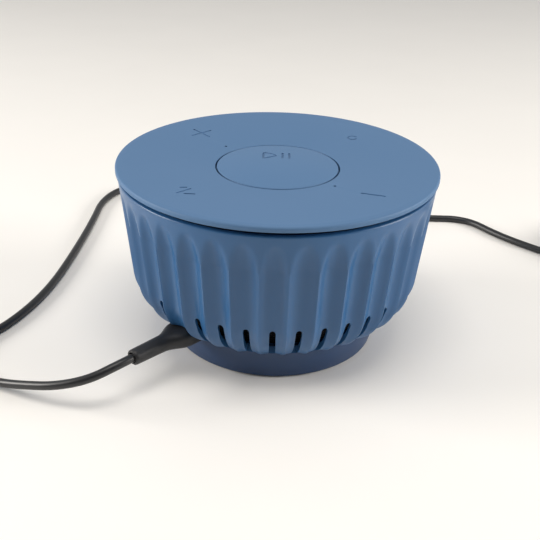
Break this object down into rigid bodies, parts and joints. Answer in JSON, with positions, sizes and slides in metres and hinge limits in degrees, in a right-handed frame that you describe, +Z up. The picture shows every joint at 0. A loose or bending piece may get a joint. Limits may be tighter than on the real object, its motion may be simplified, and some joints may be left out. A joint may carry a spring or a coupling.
{
  "type": "smart speaker",
  "caption": "Round tabletop speaker: fluted bowl with slots on a plinth, rocking dished top plate with centre button, coiled power lead.",
  "frame": {"origin": "centre of the foot ring on the table", "axes": "+Z up through the centre button; the front with the control marks' lower side faces -Y; the lead's socket is at the front left"},
  "size_m": [0.2934, 0.1951, 0.066],
  "materials": {
    "shell_blue": "moulded, fine satin",
    "plate_blue": "soft matte",
    "plinth_blue": "moulded, fine satin",
    "black_plastic": "satin",
    "foot_rubber": "matt",
    "lead_black": "satin",
    "steel": "plated",
    "screw_steel": "black oxide",
    "board": "solder mask",
    "chip_black": "moulded epoxy",
    "magnet_ferrite": "sintered",
    "cone_paper": "pressed pulp",
    "coil_copper": "wound wire",
    "mesh_cloth": "woven",
    "ribbon": "polyimide film",
    "tie_black": "nylon"
  },
  "bodies": {
    "speaker_base": {"foot_ring": "foot_rubber", "base_plinth": "plinth_blue", "base_screws": "screw_steel", "sound_deflector": "black_plastic", "acoustic_mesh": "mesh_cloth", "body_shell": "shell_blue", "chassis": "black_plastic", "driver_basket": "steel", "driver_screws": "screw_steel", "front_washer": "steel", "ring_magnet": "magnet_ferrite", "yoke": "steel", "main_board": "board", "main_board_screws": "screw_steel", "processor_shield": "steel", "amplifier_chip": "chip_black", "capacitors": "chip_black", "speaker_wires": "lead_black", "board_ribbon": "ribbon", "usb_ribbon": "ribbon", "button_board": "board", "button_board_screws": "screw_steel", "side_switches": "chip_black", "center_switch": "chip_black", "top_deck": "black_plastic", "deck_screws": "screw_steel", "usb_board": "board", "usb_socket": "steel", "usb_plug_body": "lead_black", "usb_plug_shell": "steel", "power_cord": "lead_black", "cord_coil": "lead_black", "cord_tie": "tie_black", "charger_plug_body": "lead_black", "charger_plug_shell": "steel"},
    "driver_diaphragm": {"driver_cone": "cone_paper", "dust_cap": "cone_paper", "voice_coil": "coil_copper", "driver_surround": "foot_rubber", "driver_spider": "mesh_cloth"},
    "rocker_frame": {"gimbal_ring": "black_plastic"},
    "rocker_plate": {"top_plate": "plate_blue", "microphone_seals": "foot_rubber", "microphones": "steel"},
    "press_button": {"center_button": "plate_blue", "button_return_dome": "foot_rubber"}
  },
  "joints": [
    {"name": "rocker_tilt_side", "type": "hinge", "parent": "speaker_base", "child": "rocker_frame", "pos_m": [0, 0, 0.0598], "axis": [-0.7071, 0.7071, 0], "range_deg": [-0.7, 0.7], "stiffness_Nm_per_rad": 4},
    {"name": "rocker_tilt_volume", "type": "hinge", "parent": "rocker_frame", "child": "rocker_plate", "pos_m": [0, 0, 0.0626], "axis": [0.7071, 0.7071, 0], "range_deg": [-0.7, 0.7], "stiffness_Nm_per_rad": 4},
    {"name": "button_press", "type": "slide", "parent": "rocker_plate", "child": "press_button", "axis": [0, 0, -1], "range_m": [0, 0.0008], "stiffness_N_per_m": 2500, "springref_m": -0.0001, "deforming": ["button_return_dome"]},
    {"name": "cone_travel", "type": "slide", "parent": "speaker_base", "child": "driver_diaphragm", "axis": [0, 0, -1], "range_m": [-0.0015, 0.0015], "stiffness_N_per_m": 1500, "deforming": ["driver_surround", "driver_spider"]}
  ]
}
